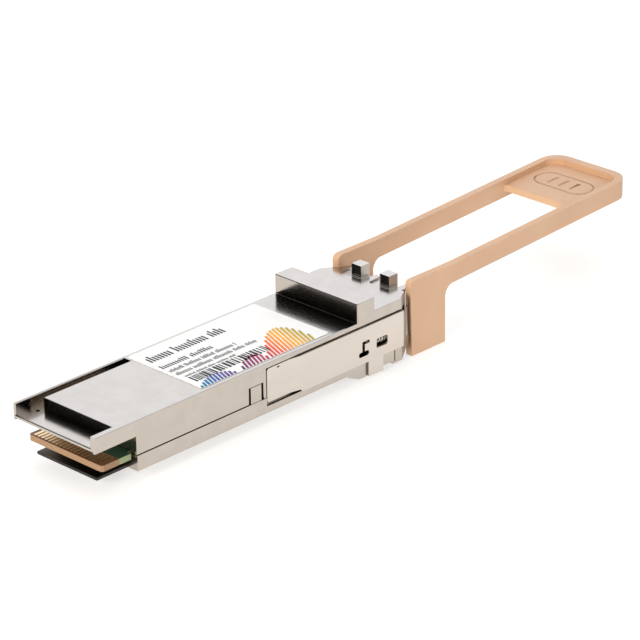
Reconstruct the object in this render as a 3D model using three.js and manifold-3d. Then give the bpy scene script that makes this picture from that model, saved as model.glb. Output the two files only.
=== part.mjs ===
// Pluggable optical transceiver module with two fibre ports, a spring-returned slider and a pull handle.
// Millimetres, +Z up, +X from the card edge towards the pull handle. The model is drawn with x = 0 at the front
// edge of the top shell and z = 0 on the underside of the body, and the last group moves the origin to the
// centre of the lowest plane of its bounding box.
import * as THREE from 'three';
import { mergeVertices } from 'three/addons/utils/BufferGeometryUtils.js';
import Module from 'manifold-3d';

const wasm = await Module();
wasm.setup();

// ---- driving dimensions -------------------------------------------------------------------------------------

const HALF_WIDTH = 9.175; // module body, standard width 18.35
const HEIGHT = 8.5; // standard body height
const SEAM_Z = 2.7; // top shell meets bottom shell
const SIDES = [-1, 1];

// front, where the card edge comes out
const BODY_FRONT = 8.35; // lower half of the body starts here
const LIP_FLOOR = 6.55; // recessed ledge on the top front
const LIP_UNDER = 6.04;
const LIP_END = 4.4; // front wall of the raised heat-transfer land
const BROW_UNDER = 5.8; // side walls reach down to here beside the card edge
const RIM = 0.505; // thin far side wall beside the ledge and the groove
const NEAR_RIM = 1.15; // the near side wall is thicker there
const GROOVE_INNER = 7.1;
const GROOVE_END = 22.4;

// inside of the body
const ROOM_HALF_WIDTH = 7.5;
const ROOM_FRONT = 9.6;
const ROOM_END = 56;
const ROOF_UNDER = 7.3;
const FLOOR_TOP = 1;
const UPPER_ROOM_HALF_WIDTH = 6.6; // narrower beside the groove
const UPPER_ROOM_Z = 6.1;

// nose with the fibre ports
const NOSE_FRONT = 56.4;
const BLOCK_END = 60.4;
const BLOCK_TOP = 11.84;
const DECK_TOP = 9.55;
const NOSE_END = 71.3;
const NOSE_BOTTOM = -1.4;
const CHAMFER_START = 66.8;
const REAR_HALF_WIDTH = 6.1;
const NOSE_ROOM_HALF_WIDTH = 7;
const NOSE_ROOM_TOP = 8.9;
const NOSE_ROOM_BOTTOM = 0.2;

// fibre ports
const PORT_Y = 3.125; // half of the 6.25 pitch
const PORT_Z = 4.3;
const PORT_SIZE = 4.7;
const PORT_FLOOR_X = 60.5;
const SLOT_FRONT = 67.76;
const SLOT_WIDTH = 4.95;
const SLOT_CORNER = 0.9;
const SLOT_FLOOR = 9.2; // the receptacle rises into the slots to here
const ARCH_WIDTH = 2.1;
const ARCH_FRONT = 69.2;
const ARCH_END = 71.25;
const ARCH_TOP = 11.1;
const ARCH_WALL = 0.22;
const PORT_FACE_X = 71;

// release slider, sheet metal
const SHEET = 0.3;
const TRAVEL = 2.5; // pull stroke that unlocks the module
const ARM_FRONT = 36;
const ARM_LOW = 1.75;
const ARM_LOW_REAR = 1.3; // lower edge behind the joggle
const ARM_HIGH = 7.5;
const ARM_OUT = 9.6; // outer face behind the joggle
const JOGGLE_START = 41;
const JOGGLE_END = 43;
const BEND_START = 66.8;
const BEND_END = 69;
const TONGUE_OUT = 8.2;
const TONGUE_END = 76.5;
const TONGUE_LOW = 1.9;
const TONGUE_HIGH = 7;
const CHANNEL_FRONT = 35.92;
const CHANNEL_LOW = 1.15;
const CHANNEL_HIGH = 7.56;
const CHANNEL_Y = 8.35; // the channels' floor is this far from the middle plane
const DEEP_CHANNEL_FRONT = 67;
const DEEP_CHANNEL_Y = 7.5;
const WEB_FRONT = 58.6;
const WEB_END = 62;
const WEB_LOW = -1.35;

// return springs
const SPRING_Y = 8.15;
const SPRING_Z = 3.85;
const SPRING_RADIUS = 0.64; // to the wire's centre line
const WIRE_RADIUS = 0.16;
const SPRING_FRONT = 59.35;
const SPRING_END = 66.45;
const SPRING_SEAT = 66.6;
const SPRING_TURNS = 10;
const POCKET_FRONT = 58.3;
const POCKET_INNER_Y = 7.25;
const POCKET_TOP = 4.95;

// pull handle, moulded
const HANDLE_HALF_WIDTH = 8.7;
const HANDLE_WALL = 1.3;
const LEG_FRONT = 69.4;
const LEG_END = 77.8;
const LEG_BOTTOM = -1.85;
const HANDLE_TOP = 11.35;
const ARM_HEIGHT = 3.25;
const ARM_BEND = 80; // from here the handle rises gently
const HANDLE_RISE = 0.043; // slope behind the bend
const PAD_FRONT = 111.3;
const PAD_RECESS = 1.05; // depth of the finger pad's floor below the rim
const PAD_PLATE = 1.2;
const HANDLE_END = 125.6; // the module's overall length
const PAD_CORNER = 3.6;
const PAD_RIM = 1.6; // width of the rim behind the pad
const WINDOW_CORNER = 0.8;

// circuit board
const CARD_FRONT = 2;
const CARD_HALF_WIDTH = 8.21;
const CARD_LOW = 1.85;
const CARD_TOP = 2.85;
const CARD_END = 43;
const CONTACTS = 19;
const CONTACT_PITCH = 0.8;
const CONTACT_WIDTH = 0.52;
const CONTACT_END = 5.2;
const CONTACT_THICKNESS = 0.05;

// screws that hold the shells together
const SCREW_FRONT_X = 11.6;
const SCREW_REAR_X = 50.6;
const SCREW_PLACES = [
  [SCREW_FRONT_X, -5.9],
  [SCREW_FRONT_X, 5.9],
  [SCREW_REAR_X, -6.32],
  [SCREW_REAR_X, 6.32],
];
const SCREW_RADIUS = 0.5;
const HEAD_RADIUS = 0.95;
const HEAD_LOW = 0.1;
const HEAD_TOP = 0.65;
const BOSS_RADIUS = 1.15;
const BOSS_TOP = 4;
const SCREW_TIP = 6.6;
const ROUND_SIDES = 24;

// ---- materials ----------------------------------------------------------------------------------------------

const look = (color, roughness, metalness) => new THREE.MeshStandardMaterial({ color, roughness, metalness });
const zinc = () => look('#cfc9c4', 0.38, 0.85);
const steel = () => look('#b9b2aa', 0.35, 0.95);
const springSteel = () => look('#8f8b88', 0.3, 1);
const beigePlastic = () => look('#d6b294', 0.5, 0);
const greenBoard = () => look('#2f6b3c', 0.45, 0);
const gold = () => look('#d9b36a', 0.3, 1);
const chipPlastic = () => look('#1d1d20', 0.5, 0);
const darkPlastic = () => look('#2a2a2c', 0.55, 0);
const softPad = () => look('#8d97a5', 0.9, 0);
const amberFilm = () => look('#b9772a', 0.5, 0);
const nickel = () => look('#c9c4b8', 0.3, 1);
const ceramic = () => look('#f1efe8', 0.35, 0);
const paperLabel = () => look('#f5f4f1', 0.6, 0);

// ---- solids -------------------------------------------------------------------------------------------------

const GRID = 10000; // corners sit on a grid of a ten-thousandth of a millimetre, so that shared planes agree

function solid(geometry) {
  const bare = geometry.index ? geometry.toNonIndexed() : geometry.clone();
  bare.deleteAttribute('normal');
  bare.deleteAttribute('uv');
  const merged = mergeVertices(bare, 1e-5);
  const corners = merged.attributes.position.array;
  const vertProperties = Float32Array.from(corners, (v) => Math.round(v * GRID) / GRID);
  const triVerts = new Uint32Array(merged.index.array);
  return new wasm.Manifold(new wasm.Mesh({ numProp: 3, vertProperties, triVerts }));
}

function box(x0, x1, y0, y1, z0, z1) {
  const geometry = new THREE.BoxGeometry(x1 - x0, y1 - y0, z1 - z0);
  geometry.translate((x0 + x1) / 2, (y0 + y1) / 2, (z0 + z1) / 2);
  return solid(geometry);
}

// a box of the given half width, centred on the module's middle plane
const wide = (x0, x1, halfWidth, z0, z1) => box(x0, x1, -halfWidth, halfWidth, z0, z1);

// a box beside the middle plane: side is -1 or 1, and near and far are distances from the plane
function beside(side, x0, x1, near, far, z0, z1) {
  return box(x0, x1, Math.min(side * near, side * far), Math.max(side * near, side * far), z0, z1);
}

function outline(points) {
  return new THREE.Shape(points.map(([a, b]) => new THREE.Vector2(a, b)));
}

// a plan outline in X and Y, extruded upwards
function plan(shape, z0, z1) {
  const geometry = new THREE.ExtrudeGeometry(shape, { depth: z1 - z0, bevelEnabled: false, curveSegments: 6 });
  geometry.translate(0, 0, z0);
  return geometry;
}

// a side outline in X and Z, extruded from y0 to y1
function profile(shape, y0, y1) {
  const geometry = new THREE.ExtrudeGeometry(shape, { depth: y1 - y0, bevelEnabled: false, curveSegments: 6 });
  geometry.rotateX(Math.PI / 2);
  geometry.translate(0, y1, 0);
  return geometry;
}

function upright(x, y, radius, z0, z1, sides = ROUND_SIDES) {
  const geometry = new THREE.CylinderGeometry(radius, radius, z1 - z0, sides);
  geometry.rotateX(Math.PI / 2);
  geometry.translate(x, y, (z0 + z1) / 2);
  return solid(geometry);
}

// a turned piece about an axis along X: profile points are [x, radius], from the axis round to the axis
function turned(points, y, z) {
  const geometry = new THREE.LatheGeometry(points.map(([x, r]) => new THREE.Vector2(r, x)), ROUND_SIDES);
  geometry.rotateZ(-Math.PI / 2);
  geometry.translate(0, y, z);
  return geometry;
}

function roundedRectangle(x0, x1, y0, y1, r) {
  const shape = new THREE.Shape();
  shape.moveTo(x0 + r, y0);
  shape.lineTo(x1 - r, y0);
  shape.absarc(x1 - r, y0 + r, r, -Math.PI / 2, 0, false);
  shape.lineTo(x1, y1 - r);
  shape.absarc(x1 - r, y1 - r, r, 0, Math.PI / 2, false);
  shape.lineTo(x0 + r, y1);
  shape.absarc(x0 + r, y1 - r, r, Math.PI / 2, Math.PI, false);
  shape.lineTo(x0, y0 + r);
  shape.absarc(x0 + r, y0 + r, r, Math.PI, Math.PI * 1.5, false);
  return shape;
}

const group = new THREE.Group();

function place(name, body, material) {
  let geometry = body;
  if (!body.isBufferGeometry) {
    const mesh = body.getMesh();
    geometry = new THREE.BufferGeometry();
    geometry.setAttribute('position', new THREE.BufferAttribute(new Float32Array(mesh.vertProperties), 3));
    geometry.setIndex(new THREE.BufferAttribute(new Uint32Array(mesh.triVerts), 1));
    geometry.computeVertexNormals();
  }
  const mesh = new THREE.Mesh(geometry, material);
  mesh.name = name;
  group.add(mesh);
}

const union = (pieces) => pieces.reduce((whole, piece) => whole.add(piece));
const cut = (whole, pieces) => pieces.reduce((rest, piece) => rest.subtract(piece), whole);

// ---- shells -------------------------------------------------------------------------------------------------

// what both shells share: rear corners cut off at the nose, and the side channels for the slider
function noseOutline() {
  const corner = outline([
    [-1, -HALF_WIDTH],
    [CHAMFER_START, -HALF_WIDTH],
    [NOSE_END, -REAR_HALF_WIDTH],
    [NOSE_END, REAR_HALF_WIDTH],
    [CHAMFER_START, HALF_WIDTH],
    [-1, HALF_WIDTH],
  ]);
  return solid(plan(corner, NOSE_BOTTOM - 1, BLOCK_TOP + 1));
}

function sliderChannels() {
  const outside = ARM_OUT + 1;
  const rear = NOSE_END + 1;
  return SIDES.flatMap((side) => [
    beside(side, CHANNEL_FRONT, rear, CHANNEL_Y, outside, CHANNEL_LOW, CHANNEL_HIGH),
    beside(side, DEEP_CHANNEL_FRONT, rear, DEEP_CHANNEL_Y, outside, CHANNEL_LOW, CHANNEL_HIGH),
  ]);
}

// rounded slot in the deck over a port, open towards the rear
function latchSlot(side) {
  const y = side * PORT_Y;
  const half = SLOT_WIDTH / 2;
  const shape = roundedRectangle(SLOT_FRONT, NOSE_END + 4, y - half, y + half, SLOT_CORNER);
  return solid(plan(shape, NOSE_ROOM_TOP - 1, DECK_TOP + 1));
}

// upright lugs on the bottom shell that key into windows of the top shell's side walls
const LUG = { front: 32.55, end: 34.85, inner: 8.45, outer: 9.05, top: 5.35, gap: 0.45 };

// small notches in the deck's side edges, and a shallow hole in the front ledge
const DECK_NOTCH = { front: 69.1, end: 70.1, inner: 6.95, depth: 0.55 };
const LEDGE_HOLE = { x: 3.3, y: 7.3, radius: 0.35, depth: 0.3 };

// raised pedestal under the roof that meets the thermal pad
const PEDESTAL = { front: 13.2, end: 21.2, halfWidth: 4, low: 5 };
const BLOCK_WALL = 0.45; // front wall of the nose block

function topShell() {
  const body = union([
    wide(0, NOSE_END + 1, HALF_WIDTH + 1, SEAM_Z, HEIGHT),
    wide(NOSE_FRONT, NOSE_END + 1, HALF_WIDTH + 1, HEIGHT - 1, DECK_TOP),
    wide(NOSE_FRONT, BLOCK_END, HALF_WIDTH + 1, HEIGHT - 1, BLOCK_TOP),
  ]).intersect(noseOutline());
  const hollow = [
    wide(-1, BODY_FRONT, HALF_WIDTH + 1, 0, BROW_UNDER),
    wide(-1, BODY_FRONT, HALF_WIDTH - RIM, 0, LIP_UNDER),
    box(LIP_END - 1, GROOVE_END, GROOVE_INNER, HALF_WIDTH - RIM, LIP_FLOOR, HEIGHT + 1),
    wide(BODY_FRONT - 1, ROOM_FRONT + 1, ROOM_HALF_WIDTH, 0, CARD_TOP + 0.1),
    wide(ROOM_FRONT, GROOVE_END + 1, ROOM_HALF_WIDTH, 0, UPPER_ROOM_Z),
    wide(ROOM_FRONT, GROOVE_END + 1, UPPER_ROOM_HALF_WIDTH, 0, ROOF_UNDER),
    wide(GROOVE_END, ROOM_END, ROOM_HALF_WIDTH, 0, ROOF_UNDER),
    wide(ROOM_END - 1, NOSE_FRONT + 1, NOSE_ROOM_HALF_WIDTH, 0, ROOF_UNDER),
    wide(NOSE_FRONT + BLOCK_WALL, NOSE_END + 1, NOSE_ROOM_HALF_WIDTH, 0, NOSE_ROOM_TOP),
    box(-1, LIP_END, -HALF_WIDTH + NEAR_RIM, HALF_WIDTH - RIM, LIP_FLOOR, HEIGHT + 1),
    upright(LEDGE_HOLE.x, LEDGE_HOLE.y, LEDGE_HOLE.radius, LIP_FLOOR - LEDGE_HOLE.depth, LIP_FLOOR + 1),
  ];
  const notch = DECK_NOTCH;
  const openings = SIDES.flatMap((side) => [
    latchSlot(side),
    beside(side, notch.front, notch.end, notch.inner, HALF_WIDTH, DECK_TOP - notch.depth, DECK_TOP + 1),
    beside(side, LUG.front - LUG.gap, LUG.end + LUG.gap, LUG.inner - 0.35, HALF_WIDTH + 1, 0, LUG.top + 0.1),
    beside(side, POCKET_FRONT, SPRING_SEAT, POCKET_INNER_Y, HALF_WIDTH, 0, POCKET_TOP),
  ]);
  const bosses = SCREW_PLACES.map(([x, y]) => upright(x, y, BOSS_RADIUS, BOSS_TOP + 0.1, ROOF_UNDER + 0.5));
  const screwHoles = SCREW_PLACES.map(([x, y]) => upright(x, y, SCREW_RADIUS + 0.08, 0, SCREW_TIP + 0.2));
  const pedestal = wide(PEDESTAL.front, PEDESTAL.end, PEDESTAL.halfWidth, PEDESTAL.low, ROOF_UNDER + 0.2);
  const shell = cut(body, [...hollow, ...openings, ...sliderChannels()]);
  return cut(union([shell, pedestal, ...bosses]), screwHoles);
}

const SEAM_GAP = 0.12; // the shells meet on this groove along the seam
const BELLY_START = 54; // behind this the underside slopes down to the nose
const BELLY_END = 56.8;
const WEB_CLEARANCE = 0.12;
const SIDE_SLIT = { front: 65.15, end: 65.35, depth: 0.6, low: -1.03 };
const FRONT_LIP = { front: 2.25, halfWidth: 6.7, low: -0.15, top: 0.32 };

function bottomShell() {
  const top = SEAM_Z - SEAM_GAP;
  const side = outline([
    [BODY_FRONT, 0],
    [BELLY_START, 0],
    [BELLY_START + 0.5, -0.4],
    [BELLY_END, NOSE_BOTTOM],
    [NOSE_END + 1, NOSE_BOTTOM],
    [NOSE_END + 1, top],
    [BODY_FRONT, top],
  ]);
  const body = solid(profile(side, -HALF_WIDTH - 1, HALF_WIDTH + 1)).intersect(noseOutline());
  const webFront = WEB_FRONT - 0.15;
  const webEnd = WEB_END + TRAVEL + 0.3;
  const webTop = WEB_LOW + SHEET + WEB_CLEARANCE;
  const hollow = [
    wide(ROOM_FRONT - 0.4, ROOM_END, ROOM_HALF_WIDTH - 0.6, FLOOR_TOP, SEAM_Z + 1),
    wide(BODY_FRONT - 1, ROOM_END, ROOM_HALF_WIDTH, CARD_LOW, SEAM_Z + 1),
    wide(ROOM_END - 1, NOSE_END + 1, NOSE_ROOM_HALF_WIDTH, NOSE_ROOM_BOTTOM, SEAM_Z + 1),
    wide(webFront, webEnd, HALF_WIDTH + 1, NOSE_BOTTOM - 1, webTop),
  ];
  const slit = SIDE_SLIT;
  const sides = SIDES.flatMap((s) => [
    beside(s, webFront, NOSE_END + 1, HALF_WIDTH - 0.1, HALF_WIDTH + 1, NOSE_BOTTOM - 1, SEAM_Z),
    beside(s, slit.front, slit.end, HALF_WIDTH - slit.depth, HALF_WIDTH + 1, slit.low, CHANNEL_LOW + 0.2),
  ]);
  const lugs = SIDES.map((s) => beside(s, LUG.front, LUG.end, LUG.inner, LUG.outer, SEAM_Z - 0.5, LUG.top));
  const bosses = SCREW_PLACES.map(([x, y]) => upright(x, y, BOSS_RADIUS, FLOOR_TOP - 0.2, BOSS_TOP));
  const frontLip = wide(FRONT_LIP.front, BODY_FRONT + 1, FRONT_LIP.halfWidth, FRONT_LIP.low, FRONT_LIP.top);
  const screwHoles = SCREW_PLACES.flatMap(([x, y]) => [
    upright(x, y, SCREW_RADIUS + 0.1, -1, BOSS_TOP + 1),
    upright(x, y, HEAD_RADIUS + 0.1, -1, HEAD_TOP + 0.02),
  ]);
  const shell = cut(body, [...hollow, ...sides, ...sliderChannels()]);
  return cut(union([shell, frontLip, ...lugs, ...bosses]), screwHoles);
}

// ---- circuit board and what it carries ----------------------------------------------------------------------

function board() {
  const corner = 0.35;
  const narrow = ROOM_HALF_WIDTH - 0.1;
  const card = outline([
    [CARD_FRONT, -CARD_HALF_WIDTH + corner],
    [CARD_FRONT + corner, -CARD_HALF_WIDTH],
    [BODY_FRONT - 0.4, -CARD_HALF_WIDTH],
    [BODY_FRONT - 0.4, -narrow],
    [CARD_END, -narrow],
    [CARD_END, narrow],
    [BODY_FRONT - 0.4, narrow],
    [BODY_FRONT - 0.4, CARD_HALF_WIDTH],
    [CARD_FRONT + corner, CARD_HALF_WIDTH],
    [CARD_FRONT, CARD_HALF_WIDTH - corner],
  ]);
  const [screwX, screwY] = SCREW_PLACES[1];
  const notches = SIDES.map((side) =>
    beside(side, screwX - BOSS_RADIUS - 0.2, screwX + BOSS_RADIUS + 0.2, screwY - BOSS_RADIUS - 0.2, 9, 0, 9)
  );
  return cut(solid(plan(card, CARD_LOW, CARD_TOP)), notches);
}

// one row of gold contact pads, tied by a thin plating bar under the solder mask edge
function contactRow(z0, z1) {
  const first = (-(CONTACTS - 1) / 2) * CONTACT_PITCH;
  const pads = [box(CONTACT_END - 0.1, CONTACT_END + 0.1, first, -first, z0, z1)];
  for (let i = 0; i < CONTACTS; i++) {
    const y = first + i * CONTACT_PITCH;
    pads.push(box(CARD_FRONT + 0.35, CONTACT_END, y - CONTACT_WIDTH / 2, y + CONTACT_WIDTH / 2, z0, z1));
  }
  return union(pads);
}

const onCard = (x, y, length, width, height) =>
  box(x - length / 2, x + length / 2, y - width / 2, y + width / 2, CARD_TOP, CARD_TOP + height);

const RETIMER_HEIGHT = 1.2;

// the soft pad between the retimer chip and the pedestal under the roof
const onChip = (x0, x1, halfWidth) => wide(x0, x1, halfWidth, CARD_TOP + RETIMER_HEIGHT, PEDESTAL.low);

// name, x, y, length, width and height of each component on the board
const CHIPS = [
  ['retimer_chip', 17.2, 0, 7, 7, RETIMER_HEIGHT],
  ['microcontroller', 26.5, -3.4, 5, 5, 0.9],
  ['power_regulator', 26.5, 3.6, 3, 3, 0.9],
  ['laser_driver', 37.6, -3.2, 4, 3.6, 0.9],
  ['receiver_amplifier', 37.6, 3.2, 3.4, 3.4, 0.9],
  ['power_inductor_a', 31.6, 4.9, 2.4, 2.4, 1.4],
  ['power_inductor_b', 31.6, 1.6, 2.4, 2.4, 1.4],
];

// ---- optics -------------------------------------------------------------------------------------------------

const CAN_FRONT = 46;
const CAN_END = 54.4;
const CAN_HALF = 2;
const BARREL_SHOULDER = 56.9;
const BARREL_END = 66.2;
const SHOULDER_RADIUS = 1.9;
const BARREL_RADIUS = 1.45;
const BORE_RADIUS = 0.72;
const BORE_FLOOR_X = 61.5;
const STUB_RADIUS = 0.62;
const STUB_END = 63.5;
const STUB_CHAMFER = 0.2;

function opticalCan(side) {
  const y = side * PORT_Y;
  return box(CAN_FRONT, CAN_END, y - CAN_HALF, y + CAN_HALF, PORT_Z - CAN_HALF, PORT_Z + CAN_HALF);
}

// a stepped metal barrel that carries the fibre stub into the port
function barrel(side) {
  const points = [
    [CAN_END, 0],
    [CAN_END, SHOULDER_RADIUS],
    [BARREL_SHOULDER, SHOULDER_RADIUS],
    [BARREL_SHOULDER, BARREL_RADIUS],
    [BARREL_END, BARREL_RADIUS],
    [BARREL_END, BORE_RADIUS],
    [BORE_FLOOR_X, BORE_RADIUS],
    [BORE_FLOOR_X, 0],
  ];
  return turned(points, side * PORT_Y, PORT_Z);
}

// ceramic fibre stub, seen down the bore of the barrel
function fibreStub(side) {
  const points = [
    [BORE_FLOOR_X, 0],
    [BORE_FLOOR_X, STUB_RADIUS],
    [STUB_END - STUB_CHAMFER, STUB_RADIUS],
    [STUB_END, STUB_RADIUS - STUB_CHAMFER],
    [STUB_END, 0],
  ];
  return turned(points, side * PORT_Y, PORT_Z);
}

// flexible circuit that steps from the board up to the optical can
function flex(side) {
  const thick = 0.14;
  const halfWidth = 1.9;
  const start = 41.2;
  const low = CARD_TOP + 0.02;
  const rise = 4.4;
  const rampStart = 43.6;
  const rampEnd = 44.8;
  const shape = outline([
    [start, low],
    [rampStart, low],
    [rampEnd, rise],
    [CAN_FRONT, rise],
    [CAN_FRONT, rise + thick],
    [rampEnd - 0.1, rise + thick],
    [rampStart - 0.1, low + thick],
    [start, low + thick],
  ]);
  return profile(shape, side * PORT_Y - halfWidth, side * PORT_Y + halfWidth);
}

// conductive gasket ring round a barrel's shoulder, in front of the receptacle
function gasket(side) {
  const front = 56;
  const end = 56.75;
  const bore = SHOULDER_RADIUS + 0.08;
  const outer = 2.6;
  const points = [
    [front, bore],
    [front, outer],
    [end, outer],
    [end, bore],
    [front, bore],
  ];
  return turned(points, side * PORT_Y, PORT_Z);
}

// moulded receptacle: two square ports, and over each port a pad that fills the slot in the deck and an arch
// that holds the plug's latch down
function receptacle() {
  const gap = 0.06;
  const barrelBore = BARREL_RADIUS + 0.1;
  const laneHalf = ARCH_WIDTH / 2 - ARCH_WALL;
  const sill = 0.1;
  const block = wide(
    BARREL_SHOULDER, NOSE_END + 1, NOSE_ROOM_HALF_WIDTH - gap, NOSE_ROOM_BOTTOM + gap, NOSE_ROOM_TOP - gap
  );
  const rear = outline([
    [BARREL_SHOULDER - 1, -HALF_WIDTH],
    [CHAMFER_START, -HALF_WIDTH],
    [PORT_FACE_X, -REAR_HALF_WIDTH + 0.6],
    [PORT_FACE_X, REAR_HALF_WIDTH - 0.6],
    [CHAMFER_START, HALF_WIDTH],
    [BARREL_SHOULDER - 1, HALF_WIDTH],
  ]);
  const slotHalf = SLOT_WIDTH / 2 - gap;
  const pads = SIDES.map((side) => {
    const y = side * PORT_Y;
    const corner = SLOT_CORNER - gap;
    const shape = roundedRectangle(SLOT_FRONT + gap, NOSE_END + 4, y - slotHalf, y + slotHalf, corner);
    return solid(plan(shape, NOSE_ROOM_TOP - 1, SLOT_FLOOR));
  });
  const body = union([block, ...pads]).intersect(solid(plan(rear, -2, 12)));
  const arches = SIDES.map((side) => {
    const y = side * PORT_Y;
    return box(ARCH_FRONT, ARCH_END, y - ARCH_WIDTH / 2, y + ARCH_WIDTH / 2, NOSE_ROOM_TOP - 1, ARCH_TOP);
  });
  const hollows = SIDES.flatMap((side) => {
    const y = side * PORT_Y;
    const half = PORT_SIZE / 2;
    const laneTop = ARCH_TOP - ARCH_WALL;
    const bore = [
      [BARREL_SHOULDER - 1, 0],
      [BARREL_SHOULDER - 1, barrelBore],
      [NOSE_END, barrelBore],
      [NOSE_END, 0],
    ];
    return [
      box(PORT_FLOOR_X, NOSE_END + 1, y - half, y + half, PORT_Z - half, PORT_Z + half),
      box(ARCH_FRONT + 0.3, NOSE_END + 1, y - laneHalf, y + laneHalf, PORT_Z, laneTop),
      box(ARCH_FRONT - 1, ARCH_FRONT + 1, y - laneHalf, y + laneHalf, SLOT_FLOOR + sill, laneTop),
      solid(turned(bore, y, PORT_Z)),
    ];
  });
  // open corners beside the rear end of each arch
  const cornerFront = 70.5;
  const cornerInner = ARCH_WIDTH / 2 + 0.15;
  const cornerLow = PORT_Z + PORT_SIZE / 2 + 0.6;
  const corners = SIDES.flatMap((side) =>
    SIDES.map((hand) => {
      const near = side * PORT_Y + hand * cornerInner;
      const far = side * PORT_Y + hand * (SLOT_WIDTH / 2 + 1);
      return box(cornerFront, NOSE_END + 1, Math.min(near, far), Math.max(near, far), cornerLow, DECK_TOP);
    })
  );
  return cut(union([body, ...arches]), [...hollows, ...corners]);
}

// ---- release slider and its springs -------------------------------------------------------------------------

// plan outline of one side arm: flush front, joggle outwards, bend in behind the nose, tongue into the handle
function armOutline(side) {
  const flush = HALF_WIDTH;
  const lead = 0.1; // the bends' inner corners come this much later
  const points = [
    [ARM_FRONT, flush],
    [JOGGLE_START, flush],
    [JOGGLE_END, ARM_OUT],
    [BEND_START, ARM_OUT],
    [BEND_END, TONGUE_OUT],
    [TONGUE_END, TONGUE_OUT],
    [TONGUE_END, TONGUE_OUT - SHEET],
    [BEND_END - lead, TONGUE_OUT - SHEET],
    [BEND_START - 2.5 * lead, ARM_OUT - SHEET],
    [JOGGLE_END + lead, ARM_OUT - SHEET],
    [JOGGLE_START + lead, flush - SHEET],
    [ARM_FRONT, flush - SHEET],
  ];
  return outline(points.map(([x, y]) => [x, side * y]));
}

// what one arm keeps, seen from the side
function armSide() {
  const corner = 0.3;
  const tongueStart = BEND_START + 0.1;
  const edge = outline([
    [ARM_FRONT, ARM_LOW + corner],
    [ARM_FRONT + corner, ARM_LOW],
    [JOGGLE_END, ARM_LOW],
    [JOGGLE_END + ARM_LOW - ARM_LOW_REAR, ARM_LOW_REAR],
    [WEB_FRONT, ARM_LOW_REAR],
    [WEB_FRONT, WEB_LOW],
    [WEB_END, WEB_LOW],
    [WEB_END, ARM_LOW_REAR],
    [tongueStart, ARM_LOW_REAR],
    [tongueStart, TONGUE_LOW],
    [TONGUE_END, TONGUE_LOW],
    [TONGUE_END, TONGUE_HIGH],
    [tongueStart, TONGUE_HIGH],
    [tongueStart, ARM_HIGH],
    [ARM_FRONT + corner, ARM_HIGH],
    [ARM_FRONT, ARM_HIGH - corner],
  ]);
  return solid(profile(edge, -ARM_OUT - 1, ARM_OUT + 1));
}

// openings through both arms: [front, end, low, high, corner radius]
const SPRING_WINDOW = [60.4, 63, 3, 4.65, 0.35];
const TAB_SLIT = [57.1, 57.7, 2.95, 5.15, 0.2]; // beside the bent tab that pushes the spring
const TAB_HOOK = [57.1, 58.8, 4.62, 5.15, 0.2];
const TAB_EYE = [56.3, 58.65, 2.55, 3.4, 0.4];
const PIP = { x: 38.5, low: 7, half: 0.35 }; // small triangular mark pierced near the front
const TAB = { front: 58.75, end: 59.15, inner: 7.5, low: 3.05, high: 4.8 };

function slider() {
  const arms = SIDES.map((side) => solid(plan(armOutline(side), WEB_LOW, ARM_HIGH)));
  const web = wide(WEB_FRONT, WEB_END, ARM_OUT, WEB_LOW, WEB_LOW + SHEET);
  const tabOuter = ARM_OUT - SHEET + 0.05;
  const tabs = SIDES.map((side) => beside(side, TAB.front, TAB.end, TAB.inner, tabOuter, TAB.low, TAB.high));
  const openings = [SPRING_WINDOW, TAB_SLIT, TAB_HOOK, TAB_EYE].map(([x0, x1, z0, z1, r]) =>
    solid(profile(roundedRectangle(x0, x1, z0, z1, r), -ARM_OUT - 1, ARM_OUT + 1))
  );
  const pip = outline([
    [PIP.x - PIP.half, PIP.low],
    [PIP.x + PIP.half, PIP.low],
    [PIP.x, PIP.low + PIP.half],
  ]);
  const pips = solid(profile(pip, -ARM_OUT, ARM_OUT));
  const sheets = cut(union(arms).intersect(armSide()), [...openings, pips]);
  return union([sheets, web, ...tabs]);
}

class Helix extends THREE.Curve {
  constructor(side) {
    super();
    this.side = side;
  }

  getPoint(t, target = new THREE.Vector3()) {
    const angle = this.side * t * SPRING_TURNS * 2 * Math.PI;
    const front = SPRING_FRONT + WIRE_RADIUS;
    const x = front + t * (SPRING_END - SPRING_FRONT - 2 * WIRE_RADIUS);
    const y = this.side * SPRING_Y + SPRING_RADIUS * Math.cos(angle);
    return target.set(x, y, SPRING_Z + SPRING_RADIUS * Math.sin(angle));
  }
}

function spring(side) {
  const section = new THREE.Shape().absarc(0, 0, WIRE_RADIUS, 0, 2 * Math.PI, false);
  const extrudePath = new Helix(side);
  const steps = SPRING_TURNS * 12;
  return new THREE.ExtrudeGeometry(section, { steps, curveSegments: 6, bevelEnabled: false, extrudePath });
}

// ---- pull handle --------------------------------------------------------------------------------------------

// height of the handle's top face, which rises gently behind the legs
const topAt = (x) => HANDLE_TOP + Math.max(0, x - ARM_BEND) * HANDLE_RISE;

// side outline of the whole handle: leg, level start of the arm and rising arm
function handleSide() {
  const corner = 1;
  const fillet = 1.9;
  const armUnder = HANDLE_TOP - ARM_HEIGHT;
  const shape = new THREE.Shape();
  shape.moveTo(LEG_FRONT + 0.4, LEG_BOTTOM);
  shape.lineTo(LEG_END, LEG_BOTTOM);
  shape.lineTo(LEG_END, armUnder - fillet);
  shape.absarc(LEG_END + fillet, armUnder - fillet, fillet, Math.PI, Math.PI / 2, true);
  shape.lineTo(ARM_BEND, armUnder);
  shape.lineTo(HANDLE_END, topAt(HANDLE_END) - ARM_HEIGHT);
  shape.lineTo(HANDLE_END, topAt(HANDLE_END));
  shape.lineTo(ARM_BEND, HANDLE_TOP);
  shape.lineTo(LEG_FRONT + corner, HANDLE_TOP);
  shape.absarc(LEG_FRONT + corner, HANDLE_TOP - corner, corner, Math.PI / 2, Math.PI, false);
  return shape;
}

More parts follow.
